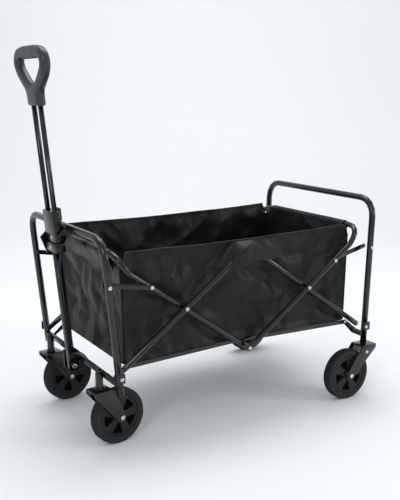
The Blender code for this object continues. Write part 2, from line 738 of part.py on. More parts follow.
def clip():
    """Plastic clip on the front top bar; its two wings stand either side of the rods."""
    x, z = leg_x(-1, FRONT_TOP_Z), FRONT_TOP_Z
    back, front = x + 0.0125, x - 0.0125
    wing = hull([(back, z + 0.004), (front, z + 0.004), (x - 0.052, z - 0.034),
                 (x - 0.034, z - 0.080), (x - 0.006, z - 0.080), (back, z - 0.040)])
    body = as_mesh(outline("handle_clip", [wing], 2 * CLIP_HALF, "grip_plastic"))
    groove = turned("clip_groove", [(0.0, 0.08), (LEG_RADIUS + GAP, 0.08),
                                    (LEG_RADIUS + GAP, -0.08), (0.0, -0.08)],
                    (x, 0.0, z), "zinc", axis="Y", steps=24)
    combine(body, groove, "DIFFERENCE")
    for word, low, high, reach in (("upper", -0.020, 0.020, front + 0.0002),
                                   ("lower", -0.120, -0.012, x - 0.0030)):
        passage = block(f"clip_passage_{word}", (x - 0.10, -CLIP_INSIDE, z + low),
                        (reach, CLIP_INSIDE, z + high), "grip_plastic")
        combine(body, passage, "DIFFERENCE")
    trim = block("clip_trim", (x - 0.10, -CLIP_HALF - 0.01, z - 0.12),
                 (back + 0.01, 0.012, z - 0.018), "grip_plastic")
    combine(body, trim, "DIFFERENCE")


handle_bracket()
handle_bolt()
handle_tube()
collar()
slider()
for WORD, SIGN in SIDES:
    rod(WORD, SIGN)
lever()
grip()
clip()


# ---- fabric basket, as plain closed panels ------------------------------------------
def basket():
    outer, inner = BASKET_Y, BASKET_Y - CLOTH
    floor, rim = BASKET_FLOOR_Z, BASKET_RIM_Z
    across = inner - GAP
    block("basket_floor", (BASKET_FRONT + CLOTH + GAP, -across, floor),
          (BASKET_REAR - CLOTH - GAP, across, floor + CLOTH), "basket_cloth")
    for word, sign in SIDES:
        ys = sorted((sign * inner, sign * outer))
        block(f"basket_side_{word}", (BASKET_FRONT, ys[0], floor),
              (BASKET_REAR, ys[1], rim), "basket_cloth")
    block("basket_front", (BASKET_FRONT, -across, floor),
          (BASKET_FRONT + CLOTH, across, rim), "basket_cloth")
    block("basket_rear", (BASKET_REAR - CLOTH, -across, floor),
          (BASKET_REAR, across, rim), "basket_cloth")


basket()

for piece in [*PARTS.objects, *CUTTERS.objects]:
    if piece.parent is None:
        piece.location.x += ORIGIN_X
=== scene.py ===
"""Looks of a folding utility wagon: tube frame, cloth basket, casters and pull handle."""

import json
import logging
import math
from dataclasses import dataclass, field
from enum import Enum
from typing import Callable, Sequence

import bmesh
import bpy
from mathutils import Matrix, Vector, noise


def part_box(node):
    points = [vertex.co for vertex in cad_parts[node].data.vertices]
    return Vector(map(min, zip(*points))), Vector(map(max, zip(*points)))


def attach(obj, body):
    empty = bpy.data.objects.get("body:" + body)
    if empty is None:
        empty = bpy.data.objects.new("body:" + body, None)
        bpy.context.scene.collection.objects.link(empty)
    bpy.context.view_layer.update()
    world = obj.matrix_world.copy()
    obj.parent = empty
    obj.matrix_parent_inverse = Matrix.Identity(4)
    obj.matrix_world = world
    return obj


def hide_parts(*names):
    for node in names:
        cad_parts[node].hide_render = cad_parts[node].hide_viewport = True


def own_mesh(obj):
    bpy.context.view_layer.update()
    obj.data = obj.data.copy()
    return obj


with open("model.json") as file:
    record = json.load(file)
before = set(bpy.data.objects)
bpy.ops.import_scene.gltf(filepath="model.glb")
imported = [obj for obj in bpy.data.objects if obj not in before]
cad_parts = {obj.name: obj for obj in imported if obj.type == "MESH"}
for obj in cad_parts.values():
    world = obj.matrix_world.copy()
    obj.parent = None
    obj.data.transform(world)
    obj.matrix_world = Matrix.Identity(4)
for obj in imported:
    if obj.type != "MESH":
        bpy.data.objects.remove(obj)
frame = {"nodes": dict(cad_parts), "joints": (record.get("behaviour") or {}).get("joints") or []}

LOG = logging.getLogger("wagon")
JOINTS = {joint["name"]: joint for joint in frame["joints"]}
SIDES = (("left", -1), ("right", 1))
WELD = 0.00002           # points closer than this become one
BLEND = 0.9999           # share of a grid's half width at which its edge starts
ORIGIN = Vector(((JOINTS["fold"]["pos_m"][0]
                  + JOINTS["rear_frame_fold"]["pos_m"][0]) / 2, 0.0, 0.0))


def pivot(joint: str) -> Vector:
    """Place of a joint's pivot at rest, measured from between the two side pivots."""
    return Vector(JOINTS[joint]["pos_m"]) - ORIGIN


def smooth(low: float, high: float, value: float) -> float:
    """Smooth step from 0 at low to 1 at high."""
    share = min(1.0, max(0.0, (value - low) / (high - low)))
    return share * share * (3.0 - 2.0 * share)


# ---- shader building ----------------------------------------------------------------
class Value:
    """A shader socket that takes part in plain arithmetic."""

    def __init__(self, surface: "Surface", socket: bpy.types.NodeSocket) -> None:
        """Wrap a socket of one surface's node tree.

        Args:
            surface: the surface that owns the tree.
            socket: the output that holds the value.
        """
        self.surface = surface
        self.socket = socket

    def math(self, operation: str, *others: "Value | float") -> "Value":
        """Add a Math node.

        Args:
            operation: the node's operation.
            others: the inputs after this one.

        Returns:
            The node's result.
        """
        inputs = dict(enumerate((self, *others)))
        return self.surface.node("ShaderNodeMath", {"operation": operation}, inputs)

    def __add__(self, other: "Value | float") -> "Value":
        """Sum."""
        return self.math("ADD", other)

    __radd__ = __add__

    def __mul__(self, other: "Value | float") -> "Value":
        """Product."""
        return self.math("MULTIPLY", other)

    __rmul__ = __mul__

    def __sub__(self, other: "Value | float") -> "Value":
        """Difference."""
        return self.math("SUBTRACT", other)

    def sine(self) -> "Value":
        """Sine of an angle in radians."""
        return self.math("SINE")


class Surface:
    """One material and the nodes that feed its shader."""

    def __init__(self, name: str) -> None:
        """Start a material with a bare Principled shader."""
        self.material = bpy.data.materials.new(name)
        self.material.use_nodes = True
        self.tree = self.material.node_tree
        self.shader = self.tree.nodes["Principled BSDF"]

    def node(self, kind: str, settings: dict, inputs: dict, output: int | str = 0) -> Value:
        """Add any node.

        Args:
            kind: the node's type.
            settings: properties set before its sockets; "stops" fills a colour ramp.
            inputs: socket name or number to a value or a link.
            output: the output that is handed back.

        Returns:
            The chosen output.
        """
        made = self.tree.nodes.new(kind)
        for key, value in settings.items():
            if key == "stops":
                ramp = made.color_ramp
                while len(ramp.elements) < len(value):
                    ramp.elements.new(0.5)
                for element, (place, colour) in zip(ramp.elements, value):
                    element.position = place
                    element.color = (*colour, 1.0)
            else:
                setattr(made, key, value)
        for key, value in inputs.items():
            if isinstance(value, Value):
                self.tree.links.new(value.socket, made.inputs[key])
            else:
                made.inputs[key].default_value = value
        return Value(self, made.outputs[output])

    def coordinates(self, source: str = "Object") -> Value:
        """Texture coordinates of the piece."""
        return self.node("ShaderNodeTexCoord", {}, {}, source)

    def cloth_axes(self) -> tuple[Value, Value]:
        """The two coordinates of the piece's UV map, along and across the cloth."""
        across = self.node("ShaderNodeSeparateXYZ", {}, {
            "Vector": self.coordinates("UV")}, "X")
        return across, Value(self, across.socket.node.outputs["Y"])

    def noise(self, scale: float, detail: float = 3.0, source: str = "Object",
              stretch: tuple[float, float, float] = (1.0, 1.0, 1.0)) -> Value:
        """Noise over the piece, from 0 to 1.

        Args:
            scale: its fineness.
            detail: its octaves.
            source: the coordinates it reads.
            stretch: extra fineness along each axis.

        Returns:
            The noise value.
        """
        place = self.node("ShaderNodeMapping", {}, {"Vector": self.coordinates(source),
                                                   "Scale": stretch})
        return self.node("ShaderNodeTexNoise", {}, {"Vector": place, "Scale": scale,
                                                    "Detail": detail}, "Fac")

    def ramp(self, value: Value, stops: Sequence[tuple[float, tuple]]) -> Value:
        """Colours along a value.

        Args:
            value: the value that picks the colour.
            stops: places from 0 to 1 and their colours.

        Returns:
            The colour.
        """
        return self.node("ShaderNodeValToRGB", {"stops": stops}, {"Fac": value}, "Color")

    def feed(self, socket: str, value: "Value | float | tuple") -> None:
        """Give one of the shader's sockets a value or a link.

        Args:
            socket: the socket's name.
            value: a link, or the constant that it holds.
        """
        if isinstance(value, Value):
            self.tree.links.new(value.socket, self.shader.inputs[socket])
        else:
            self.shader.inputs[socket].default_value = value

    def bump(self, height: Value, strength: float, distance: float) -> None:
        """Raise the surface by a height value.

        Args:
            height: the height.
            strength: share of the effect.
            distance: metres that a height of 1 stands for.
        """
        self.feed("Normal", self.node("ShaderNodeBump", {}, {
            "Height": height, "Strength": strength, "Distance": distance}))


def grey(level: float, warmth: float = 0.0) -> tuple[float, float, float]:
    """A near-neutral colour, warmer or (below 0) cooler."""
    return (level * (1.0 + warmth), level, level * (1.0 - warmth))


# ---- finishes -----------------------------------------------------------------------
@dataclass(frozen=True)
class PowderCoat:
    """Gloss black powder coat with a faint orange peel and rubbed patches."""

    level: float = 0.0030
    roughness: float = 0.15
    peel: float = 1100.0

    def make(self) -> bpy.types.Material:
        """Build the material.

        Returns:
            The finished material.
        """
        surface = Surface("powder_coat")
        patch = surface.noise(34.0, 4.0)
        surface.feed("Base Color", surface.ramp(patch, (
            (0.30, grey(self.level * 0.8, -0.06)), (0.55, grey(self.level, -0.06)),
            (0.80, grey(self.level * 1.7, -0.04)))))
        surface.feed("Roughness", patch * 0.12 + (self.roughness - 0.05))
        surface.feed("Coat Weight", 0.12)
        surface.feed("Coat Roughness", 0.06)
        surface.bump(surface.noise(self.peel, 2.0), 0.10, 0.0002)
        return surface.material


@dataclass(frozen=True)
class Zinc:
    """Bright zinc plate on rivets and bolts."""

    level: float = 0.66
    roughness: float = 0.24

    def make(self) -> bpy.types.Material:
        """Build the material.

        Returns:
            The finished material.
        """
        surface = Surface("zinc")
        bloom = surface.noise(160.0, 5.0)
        surface.feed("Base Color", surface.ramp(bloom, (
            (0.35, grey(self.level * 0.82, -0.01)), (0.65, grey(self.level, 0.01)))))
        surface.feed("Metallic", 1.0)
        surface.feed("Roughness", bloom * 0.18 + (self.roughness - 0.06))
        surface.bump(surface.noise(2200.0, 2.0), 0.08, 0.0001)
        return surface.material


@dataclass(frozen=True)
class Moulded:
    """Moulded plastic with a fine spark-eroded grain."""

    name: str
    level: float
    roughness: float
    specular: float = 0.5
    grain: float = 2600.0
    strength: float = 0.25

    def make(self) -> bpy.types.Material:
        """Build the material.

        Returns:
            The finished material.
        """
        surface = Surface(self.name)
        cloud = surface.noise(55.0, 4.0)
        surface.feed("Base Color", surface.ramp(cloud, (
            (0.30, grey(self.level * 0.86, -0.05)), (0.70, grey(self.level * 1.14, -0.05)))))
        surface.feed("Roughness", cloud * 0.14 + (self.roughness - 0.07))
        surface.feed("Specular IOR Level", self.specular)
        surface.bump(surface.noise(self.grain, 2.0), self.strength, 0.0002)
        return surface.material


@dataclass(frozen=True)
class Rubber:
    """Matte dark grey tyre compound, dusty on its highest points."""

    level: float = 0.019

    def make(self) -> bpy.types.Material:
        """Build the material.

        Returns:
            The finished material.
        """
        surface = Surface("tyre_rubber")
        dust = surface.noise(90.0, 6.0)
        surface.feed("Base Color", surface.ramp(dust, (
            (0.35, grey(self.level * 0.8, -0.03)), (0.62, grey(self.level, -0.02)),
            (0.85, grey(self.level * 1.6, 0.02)))))
        surface.feed("Roughness", dust * 0.20 + 0.62)
        surface.feed("Specular IOR Level", 0.30)
        surface.bump(surface.noise(1500.0, 3.0), 0.30, 0.0003)
        return surface.material


@dataclass(frozen=True)
class Polyester:
    """Coated black polyester of thick yarns in a plain weave."""

    name: str = "basket_cloth"
    level: float = 0.0060
    threads: float = 1500.0
    roughness: float = 0.42
    sheen: float = 0.04
    specular: float = 0.24
    broad_fold: float = 0.060
    slanted_fold: float = 0.022
    yarn: float = 0.00005

    def make(self) -> bpy.types.Material:
        """Build the material; the weave follows the cloth's own UV map.

        Returns:
            The finished material.
        """
        surface = Surface(self.name)
        along, across = surface.cloth_axes()
        warp = (along * (self.threads * math.pi)).sine()
        weft = (across * (self.threads * math.pi)).sine()
        weave = warp * weft * 0.5 + 0.5
        cloud = surface.noise(7.0, 5.0)
        slub = surface.noise(60.0, 3.0, "UV", (1.0, 14.0, 1.0))
        tone = cloud * 0.75 + slub * 0.25
        surface.feed("Base Color", surface.ramp(tone, (
            (0.32, grey(self.level * 0.78, -0.03)), (0.52, grey(self.level, -0.01)),
            (0.72, grey(self.level * 1.30, 0.01)))))
        surface.feed("Roughness", cloud * 0.16 + weave * 0.06 + (self.roughness - 0.10))
        surface.feed("Specular IOR Level", self.specular)
        surface.feed("Sheen Weight", self.sheen)
        surface.feed("Sheen Roughness", 0.45)
        broad = (surface.noise(5.0, 1.0, "Object", (1.0, 1.0, 0.7)) - 0.5).math("ABSOLUTE")
        slanted = (surface.noise(11.0, 1.0, "Object", (1.0, 0.8, 0.45)) - 0.5).math("ABSOLUTE")
        folds = broad * -self.broad_fold + slanted * -self.slanted_fold
        surface.bump(weave * self.yarn + slub * (self.yarn * 0.8) + folds, 0.85, 1.0)
        return surface.material


# ---- piece building -----------------------------------------------------------------
def piece(name: str, bm: bmesh.types.BMesh, material: bpy.types.Material, body: str,
          sharp: float = 35.0, copied: bool = False) -> bpy.types.Object:
    """Turn a bmesh into a finished piece that rides on a body.

    Args:
        name: the piece's name.
        bm: its mesh, measured from between the side pivots; it is freed.
        material: its finish.
        body: the body that carries it.
        sharp: edges over this many degrees stay sharp.
        copied: whether the mesh is a node's own, already in its place.

    Returns:
        The piece.
    """
    if not copied:
        bmesh.ops.translate(bm, vec=ORIGIN, verts=bm.verts)
        bmesh.ops.recalc_face_normals(bm, faces=bm.faces)
    mesh = bpy.data.meshes.new(name)
    bm.to_mesh(mesh)
    bm.free()
    for polygon in mesh.polygons:
        polygon.use_smooth = True
    mesh.set_sharp_from_angle(angle=math.radians(sharp))
    mesh.materials.append(material)
    made = bpy.data.objects.new(name, mesh)
    bpy.context.scene.collection.objects.link(made)
    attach(made, body)
    LOG.info("%s rides on %s", name, body)
    return made


def turned(profile: Sequence[tuple[float, float]], centre: Vector, axis: Matrix,
           steps: int = 24) -> bmesh.types.BMesh:
    """Spin a profile of (radius, height) points about an axis through centre.

    Args:
        profile: points along the section.
        centre: where height 0 lies.
        axis: the turn from +Z to the axis.
        steps: segments round.

    Returns:
        The closed shell.
    """
    bm = bmesh.new()
    points = [bm.verts.new((radius, 0.0, height)) for radius, height in profile]
    edges = [bm.edges.new(pair) for pair in zip(points, points[1:])]
    bmesh.ops.spin(bm, geom=[*points, *edges], cent=(0, 0, 0), axis=(0, 0, 1),
                   angle=math.tau, steps=steps, use_merge=True, use_duplicate=False)
    bmesh.ops.remove_doubles(bm, verts=bm.verts, dist=WELD)
    bmesh.ops.transform(bm, matrix=Matrix.Translation(centre) @ axis, verts=bm.verts)
    return bm


def refined(node: str, suffix: str, material: bpy.types.Material, body: str,
            edge: float = 0.0, sharp: float = 40.0) -> bpy.types.Object:
    """A welded, smooth-shaded copy of a node with its sharp edges eased, in its place.

    Args:
        node: the node that the copy stands for.
        suffix: word added to the node's name.
        material: the finish.
        body: the body that carries it.
        edge: width of the eased edges, 0 to leave them.
        sharp: edges over this many degrees count as sharp.

    Returns:
        The copy.
    """
    bm = bmesh.new()
    bm.from_mesh(frame["nodes"][node].data)
    bmesh.ops.remove_doubles(bm, verts=bm.verts, dist=WELD)
    bmesh.ops.dissolve_limit(bm, angle_limit=math.radians(1.0), verts=bm.verts,
                             edges=bm.edges)
    if edge:
        hard = [e for e in bm.edges if len(e.link_faces) == 2
                and e.calc_face_angle(0.0) > math.radians(sharp)]
        bmesh.ops.bevel(bm, geom=hard, offset=edge, affect="EDGES", segments=2,
                        profile=0.5, material=-1, clamp_overlap=True)
    bmesh.ops.triangulate(bm, faces=[f for f in bm.faces if len(f.verts) > 4])
    made = piece(f"{node}_{suffix}", bm, material, body, sharp, copied=True)
    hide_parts(node)
    return made


# ---- cloth --------------------------------------------------------------------------
def ridged(u: float, v: float, seed: float) -> float:
    """Crease height from 0 to 1, highest along the winding lines where the noise is 0."""
    value = noise.noise(Vector((u, v, seed)))
    return max(0.0, 1.0 - abs(value) * 2.6) ** 2


def unwrapped(bm: bmesh.types.BMesh) -> None:
    """Lay a UV map in metres over a cloth, by the way each face looks.

    Args:
        bm: the cloth's mesh.
    """
    layer = bm.loops.layers.uv.new("cloth")
    bm.normal_update()
    for face in bm.faces:
        across, side, up = (abs(part) for part in face.normal)
        for loop in face.loops:
            place = loop.vert.co
            if up > max(across, side):
                loop[layer].uv = (place.x, place.y)
            elif side > across:
                loop[layer].uv = (place.x, place.z)
            else:
                loop[layer].uv = (place.y, place.z)


def cloth_grid(columns: int, rows: int,
               place: Callable[[float, float], Vector]) -> bmesh.types.BMesh:
    """A grid of cloth laid by a function of two shares.

    Args:
        columns: cells along the first share.
        rows: cells along the second.
        place: the function, which turns two shares from 0 to 1 into a point.

    Returns:
        The grid, with its UV map.
    """
    bm = bmesh.new()
    bmesh.ops.create_grid(bm, x_segments=columns, y_segments=rows, size=0.5)
    for vertex in bm.verts:
        vertex.co = place(vertex.co.x + 0.5, vertex.co.y + 0.5)
    unwrapped(bm)
    return bm


class Wall(Enum):
    """One wall of the basket.

    Its figures are: is it lengthwise, its side, how creased it is, its noise seed and how
    far its rim has sagged.
    """

    NEAR = (True, -1.0, 1.15, 1.0, 0.0110)
    FAR = (True, 1.0, 0.90, 4.7, 0.0)
    FRONT = (False, -1.0, 1.35, 8.4, 0.0)
    REAR = (False, 1.0, 0.35, 12.1, 0.0)

    def __init__(self, lengthwise: bool, side: float, creased: float, seed: float,
                 sagged: float) -> None:
        """Keep the wall's figures.

        Args:
            lengthwise: whether it runs along the wagon.
            side: which side of the middle it stands on.
            creased: how deep its folds are.
            seed: where its noise is read.
            sagged: how far its rim hangs below the others.
        """
        self.lengthwise = lengthwise
        self.side = side
        self.creased = creased
        self.seed = seed
        self.sagged = sagged


@dataclass
class Basket:
    """Cloth basket hung from the two basket hoops."""

    cloth: bpy.types.Material
    binding: bpy.types.Material
    half_length: tuple[float, float] = (0.3830, 0.3893)
    half_width: tuple[float, float] = (0.2135, 0.2168)
    floor_z: float = 0.2500
    rim_z: float = 0.5445
    droop: float = 0.018
    corner: float = 0.016
    columns: int = 96
    depth_cells: int = 54
    rows: int = 34
    hoop: Vector = field(default_factory=lambda: Vector((0.400, 0.0, 0.530)))
    hoop_radius: float = 0.0083
    keep: float = 0.168
    soft_fold: float = 0.0050
    sag_fold: float = 0.0040
    slanted_fold: float = 0.0066
    crossed_fold: float = 0.0060
    upright_fold: float = 0.0034
    corner_fold: float = 0.0062
    rim_dip: float = 0.0055
    corner_rim_z: float = 0.5120
    cloth_thick: float = 0.0016
    tape_thick: float = 0.0044
    piping_radius: float = 0.0020
    hem_half: float = 0.1840
    hem_drop: float = 0.0460
    hem_slack: float = 0.0014
    rim_tape_half: float = 0.3720
    rim_tape_cover: tuple[float, float] = (0.945, 1.008)
    flap_thick: float = 0.0015
    flap_foot: tuple[float, float] = (-0.106, 0.142)
    flap_head: tuple[float, float] = (-0.046, 0.118)
    flap_low: float = 0.4605
    flap_rim: float = 0.5385
    flap_seat: float = 0.2186
    flap_cover: tuple[float, float] = (0.2588, 0.2424)

    def gather(self, made: bpy.types.Object) -> None:
        """Give a piece its own copy of its mesh."""
        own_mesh(made)

    def size_at(self, height: float) -> tuple[float, float]:
        """Half length and half width at a share of the walls' height."""
        return tuple(low + (high - low) * height
                     for low, high in (self.half_length, self.half_width))

    def half(self, wall: Wall) -> float:
        """Half the wall's length along the floor."""
        return self.half_length[0] if wall.lengthwise else self.half_width[0]

    def rim(self, along: float, wall: Wall) -> float:
        """Height of the rim at a place along one wall.

        Args:
            along: distance from the wall's middle.
            wall: the wall.

        Returns:
            The height.
        """
        half = self.half(wall)
        notch = 1.0 - smooth(0.006, 0.020, half - abs(along))
        if wall.lengthwise:
            top = self.rim_z - wall.sagged
            top -= self.rim_dip * math.cos(0.5 * math.pi * along / half)
            top += 0.0016 * noise.noise(Vector((along * 9.0, half * 7.0, 2.0)))
        else:
            top = self.hoop.z
        return top - notch * (top - self.corner_rim_z)

    def crumple(self, along: float, height: float, wall: Wall) -> float:
        """Depth of the cloth's folds, measured inwards from its taut shape.

        Args:
            along: distance along the wall from its middle.
            height: share of the way up the wall.
            wall: the wall.

        Returns:
            The depth in metres.
        """
        z = height * 0.295
        seed, end, busy = wall.seed, self.half(wall), wall.creased
        corner = smooth(0.55, 1.0, abs(along) / end)
        soft = noise.noise(Vector((along * 5.0, z * 6.0, seed)))
        upright = ridged(along * 13.0 + z * 2.0, z * 3.2, seed + 5.0)
        slanted = ridged(along * 6.0 + z * 9.0, z * 3.0 - along * 5.0, seed + 9.0)
        crossed = ridged(along * 7.0 - z * 11.0, z * 4.0 + along * 4.0, seed + 13.0)
        sag = smooth(0.0, 0.5, 1.0 - abs(along) / end) * (1.0 - abs(2.0 * height - 0.8))
        depth = self.soft_fold * (soft + 0.4) + self.sag_fold * busy * max(0.0, sag)
        depth += busy * (self.slanted_fold * slanted + self.crossed_fold * crossed)
        depth += (self.upright_fold * busy
                  + self.corner_fold * corner * (1.0 - height)) * upright
        taut = smooth(0.0, 0.10, height) * (1.0 - 0.65 * smooth(0.86, 1.0, height))
        seam = smooth(0.0, 0.030, end - abs(along))
        return max(0.0, depth) * taut * seam

    def wall_point(self, wall: Wall, along: float, height: float,
                   out: float = 0.0) -> Vector:
        """A point on one wall.

        Args:
            wall: the wall.
            along: distance from the wall's middle, in the floor's measure.
            height: share of the way from the floor to the rim.
            out: distance outwards from the cloth.

        Returns:
            The point.
        """
        length, width = self.size_at(height)
        wide, deep = (length, width) if wall.lengthwise else (width, length)
        spread = along * wide / self.half(wall)
        away = deep - self.crumple(along, height, wall) + out
        round_in = max(0.0, self.corner - (wide - abs(spread)))
        away -= self.corner - math.sqrt(max(0.0, self.corner ** 2 - round_in ** 2))
        low = self.floor_z - self.droop
        z = low + (self.rim(along, wall) - low) * height
        if wall.lengthwise:
            return Vector((spread, wall.side * away, z))
        return Vector((wall.side * away, spread, z))

    def shell(self) -> bpy.types.Object:
        """Floor and four walls in one sheet, drawn up from the floor's edge.

        Returns:
            The shell.
        """
        bm = bmesh.new()
        bmesh.ops.create_grid(bm, x_segments=self.columns, y_segments=self.depth_cells,
                              size=1.0)
        spans = (self.half_length[0], self.half_width[0])
        rings = {vertex: (vertex.co.x, vertex.co.y, 0) for vertex in bm.verts}
        edge = [e for e in bm.edges if e.is_boundary]
        for row in range(1, self.rows + 1):
            grown = bmesh.ops.extrude_edge_only(bm, edges=edge)["geom"]
            fresh = [g for g in grown if isinstance(g, bmesh.types.BMVert)]
            edge = [g for g in grown if isinstance(g, bmesh.types.BMEdge)
                    and g.is_boundary]
            for vertex in fresh:
                rings[vertex] = (vertex.co.x, vertex.co.y, row)
        for vertex, (x, y, row) in rings.items():
            if row == 0 and max(abs(x), abs(y)) < BLEND:
                dip = 0.0016 * noise.noise(Vector((x * 4.0, y * 3.0, 8.0)))
                dip -= self.droop * smooth(0.90, 1.0, max(abs(x), abs(y)))
                vertex.co = (x * spans[0], y * spans[1], self.floor_z + dip)
                continue
            walls = [wall for wall in Wall
                     if (y if wall.lengthwise else x) * wall.side > BLEND]
            spots = [self.wall_point(wall, (x if wall.lengthwise else y) * self.half(wall),
                                     row / self.rows) for wall in walls]
            vertex.co = sum(spots, Vector()) / len(spots)
        bmesh.ops.recalc_face_normals(bm, faces=bm.faces)
        unwrapped(bm)
        made = self.dressed("basket_shell", bm, self.cloth, self.cloth_thick)
        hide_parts("basket_floor", "basket_side_left", "basket_side_right",
                    "basket_front", "basket_rear")
        return made

    def dressed(self, name: str, bm: bmesh.types.BMesh, material: bpy.types.Material,
                thickness: float) -> bpy.types.Object:
        """A cloth piece given its thickness and its own copy of its mesh.

        Args:
            name: the piece's name.
            bm: its sheet.
            material: its finish.
            thickness: of the finished cloth.

        Returns:
            The piece.
        """
        bmesh.ops.solidify(bm, geom=bm.faces, thickness=thickness)
        bmesh.ops.recalc_face_normals(bm, faces=bm.faces)
        made = piece(name, bm, material, "basket", 60.0)
        self.gather(made)
        return made

    def band(self, name: str, wall: Wall, ends: tuple[float, float],
             drop: tuple[float, float], out: float) -> bpy.types.Object:
        """A tape sewn over a wall.

        Args:
            name: the piece's name.
            wall: the wall it lies on.
            ends: where it starts and stops along the wall.
            drop: shares of the wall's height that it covers.
            out: its distance outwards from the cloth.

        Returns:
            The tape.
        """
        def place(u: float, v: float) -> Vector:
            """A point of the tape at two shares."""
            along = ends[0] + (ends[1] - ends[0]) * u
            return self.wall_point(wall, along, drop[0] + (drop[1] - drop[0]) * v, out)

        return self.dressed(name, cloth_grid(90, 5, place), self.binding, self.tape_thick)

    def rim_bindings(self) -> None:
        """Folded tapes over the two free rims."""
        for wall in (Wall.NEAR, Wall.FAR):
            made = self.band(f"rim_binding_{wall.name.lower()}", wall,
                             (-self.rim_tape_half, self.rim_tape_half),
                             self.rim_tape_cover, 0.0)

    def sleeves(self) -> None:
        """Hems that wrap the cross runs of the hoops at the front and the rear."""
        radius = self.hoop_radius + self.hem_slack
        for word, sign in (("front", -1.0), ("rear", 1.0)):
            def place(u: float, v: float, sign: float = sign) -> Vector:
                """A point of the hem, which goes up inside, over and down outside."""
                y = self.hem_half * (2.0 * u - 1.0)
                wrap = noise.noise(Vector((y * 20.0, v * 3.0, sign * 4.0)))
                swell = radius + 0.0012 * max(0.0, wrap)
                hang = self.hem_drop + 0.003 * noise.noise(Vector((y * 9.0, 0.0, sign)))
                if v < 0.3:
                    x, z = self.hoop.x - radius, self.hoop.z - hang * (1.0 - v / 0.3)
                elif v < 0.7:
                    turn = math.pi * (v - 0.3) / 0.4
                    x = self.hoop.x - swell * math.cos(turn)
                    z = self.hoop.z + swell * math.sin(turn)
                else:
                    fall = (v - 0.7) / 0.3
                    x = self.hoop.x + radius - 0.0155 * smooth(0.0, 1.0, fall)
                    x += 0.0010 * wrap * fall
                    z = self.hoop.z - hang * fall
                return Vector((sign * x, y, z))

            made = self.dressed(f"hem_sleeve_{word}", cloth_grid(70, 40, place),
                                self.cloth, self.cloth_thick)

    def flap_point(self, sign: float, u: float, v: float) -> Vector:
        """A point on the patch that covers the top centre joint on one side.

        The patch is sewn along the rim and down its two ends, and stands out over the
        two links, which fall away from the joint to the front and the rear.

        Args:
            sign: the side of the wagon, -1 or 1.
            u: share of the way rearwards.
            v: share of the way up.

        Returns:
            The point.
        """
        left = self.flap_foot[0] + (self.flap_head[0] - self.flap_foot[0]) * v
        right = self.flap_foot[1] + (self.flap_head[1] - self.flap_foot[1]) * v
        x = left + (right - left) * u
        lower = self.flap_low + 0.010 * smooth(0.15, 0.5, u) * (1.0 - smooth(0.6, 1.0, u) * 0.6)
        rim = self.flap_rim - (Wall.NEAR if sign < 0 else Wall.FAR).sagged
        z = lower + (rim - lower) * v
        foot, joint = pivot("fold"), pivot("front_hoop_fold")
        top = 2 * joint.z - foot.z
        line = top - (top - foot.z) / -foot.x * abs(x)
        front, rear = self.flap_cover
        tube = front + (rear - front) * smooth(-0.020, 0.020, x)
        rise = min(1.0, max(0.0, (rim - z) / max(0.006, rim - line - 0.012)))
        sewn = smooth(0.0, 0.16, u) * smooth(0.0, 0.30, 1.0 - u)
        crease = 0.0016 * noise.noise(Vector((x * 22.0, z * 22.0, sign * 3.0)))
        y = self.flap_seat + (tube - self.flap_seat + crease) * rise * sewn
        return Vector((x, sign * y, z))

    def flaps(self) -> None:
        """Patches over the top centre joints, open along their lower edges."""
        for word, sign in SIDES:
            bm = cloth_grid(64, 30, lambda u, v, s=sign: self.flap_point(s, u, v))
            made = self.dressed(f"joint_flap_{word}", bm, self.cloth, self.flap_thick)

    def seams(self) -> None:
        """Piping up the four corners."""
        for number, (wx, wy) in enumerate(((-1, -1), (-1, 1), (1, -1), (1, 1))):
            def place(u: float, v: float, wx: int = wx, wy: int = wy) -> Vector:
                """A point of the round piping at two shares."""
                turn = math.tau * v
                rise = u * 0.985
                length, width = self.size_at(rise)
                low = self.floor_z - self.droop
                z = low + (self.corner_rim_z - 0.0010 - low) * rise
                inset = self.corner * 0.30
                x = wx * (length - inset + self.piping_radius * math.cos(turn))
                y = wy * (width - inset + self.piping_radius * math.sin(turn))
                return Vector((x, y, z))

            bm = cloth_grid(40, 8, place)
            bmesh.ops.remove_doubles(bm, verts=bm.verts, dist=0.00005)
            bmesh.ops.holes_fill(bm, edges=[e for e in bm.edges if e.is_boundary])
            made = piece(f"corner_piping_{number}", bm, self.binding, "basket",
                         60.0)
            self.gather(made)

    def make(self) -> None:
        """Build the basket."""
        shell = self.shell()
        self.rim_bindings()
        self.sleeves()
        self.flaps()
        self.seams()


